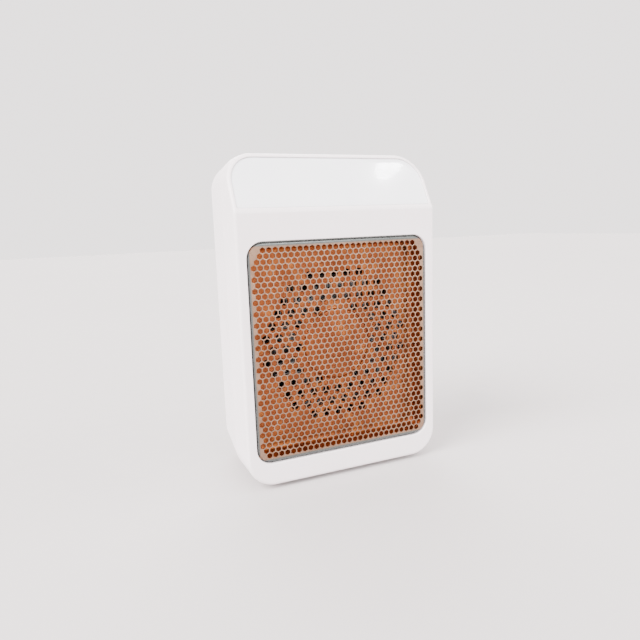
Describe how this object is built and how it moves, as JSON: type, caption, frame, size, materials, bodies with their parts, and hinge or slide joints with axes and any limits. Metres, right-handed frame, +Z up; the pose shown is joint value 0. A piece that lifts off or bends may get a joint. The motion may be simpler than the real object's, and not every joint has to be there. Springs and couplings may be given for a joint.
{
  "type": "ceramic space heater",
  "caption": "Plug-in wall heater: white rounded casing, sloped gloss panel, hexagonal steel outlet mesh over a copper-orange tray, ceramic element, axial fan, swivelling plug.",
  "frame": {"origin": "centre of the plug's round seat, on the plane that meets the outlet", "axes": "+Z up, -Y out of the front grille into the room, +Y into the wall along the plug blades, +X to the right seen from the front"},
  "size_m": [0.106, 0.0767, 0.16],
  "materials": {
    "white_shell": "satin moulded",
    "white_inner": "matte moulded",
    "white_gloss": "high gloss",
    "satin_steel": "satin",
    "copper_tray": "metallic copper-orange lacquer",
    "fin_aluminium": "mill",
    "ceramic": "sintered",
    "phenolic": "matte heat-resistant",
    "steel": "zinc plated",
    "blade_brass": "bright",
    "black_plastic": "satin moulded",
    "board": "solder mask",
    "relay_case": "moulded",
    "rubber": "matte",
    "lead_red": "insulation",
    "lead_black": "insulation"
  },
  "bodies": {
    "plug": {"plug_turret": "white_shell", "plug_blade_live": "blade_brass", "plug_blade_neutral": "blade_brass"},
    "housing": {"board_screw_1": "steel", "board_screw_2": "steel", "ceramic_row_lower": "ceramic", "ceramic_row_upper": "ceramic", "control_board": "board", "control_panel": "white_gloss", "diffuser_tray": "copper_tray", "display_module": "black_plastic", "electrode_1": "fin_aluminium", "electrode_2": "fin_aluminium", "electrode_3": "fin_aluminium", "electrode_4": "fin_aluminium", "element_frame": "phenolic", "fan_duct": "black_plastic", "fan_screw_1": "steel", "fan_screw_2": "steel", "fan_screw_3": "steel", "fan_screw_4": "steel", "film_capacitor": "black_plastic", "fin_pack_lower": "fin_aluminium", "fin_pack_middle": "fin_aluminium", "fin_pack_upper": "fin_aluminium", "front_bezel": "white_shell", "grille_mesh": "satin_steel", "housing_screw_1": "steel", "housing_screw_2": "steel", "housing_screw_3": "steel", "housing_screw_4": "steel", "motor_can": "steel", "motor_end_cap": "black_plastic", "motor_lead_black": "lead_black", "motor_lead_red": "lead_red", "motor_magnet": "ceramic", "power_board": "board", "rear_housing": "white_shell", "relay": "relay_case", "retainer_screw_left": "steel", "retainer_screw_right": "steel", "slip_contact_live": "blade_brass", "slip_contact_neutral": "blade_brass", "smoothing_capacitor": "black_plastic", "switch_frame": "black_plastic", "terminal_block": "phenolic", "thermal_cutout": "phenolic", "thermal_fuse": "steel", "touch_spring_1": "blade_brass", "touch_spring_2": "blade_brass", "touch_spring_3": "blade_brass", "turret_retainer": "white_inner", "wall_bumper_left": "rubber", "wall_bumper_right": "rubber"},
    "rotor": {"fan_impeller": "black_plastic", "motor_shaft": "steel", "motor_armature": "steel"},
    "rocker": {"switch_rocker": "black_plastic"}
  },
  "joints": [
    {"name": "plug_swivel", "type": "hinge", "parent": "plug", "child": "housing", "pos_m": [0, 0, 0], "axis": [0, 1, 0], "range_deg": [-90, 90]},
    {"name": "fan_spin", "type": "hinge", "parent": "housing", "child": "rotor", "pos_m": [0, -0.0235, -0.0693], "axis": [0, 1, 0], "continuous": true},
    {"name": "switch_rock", "type": "hinge", "parent": "housing", "child": "rocker", "pos_m": [0.048, -0.021, -0.005], "axis": [0, 1, 0], "range_deg": [0, 16]}
  ]
}
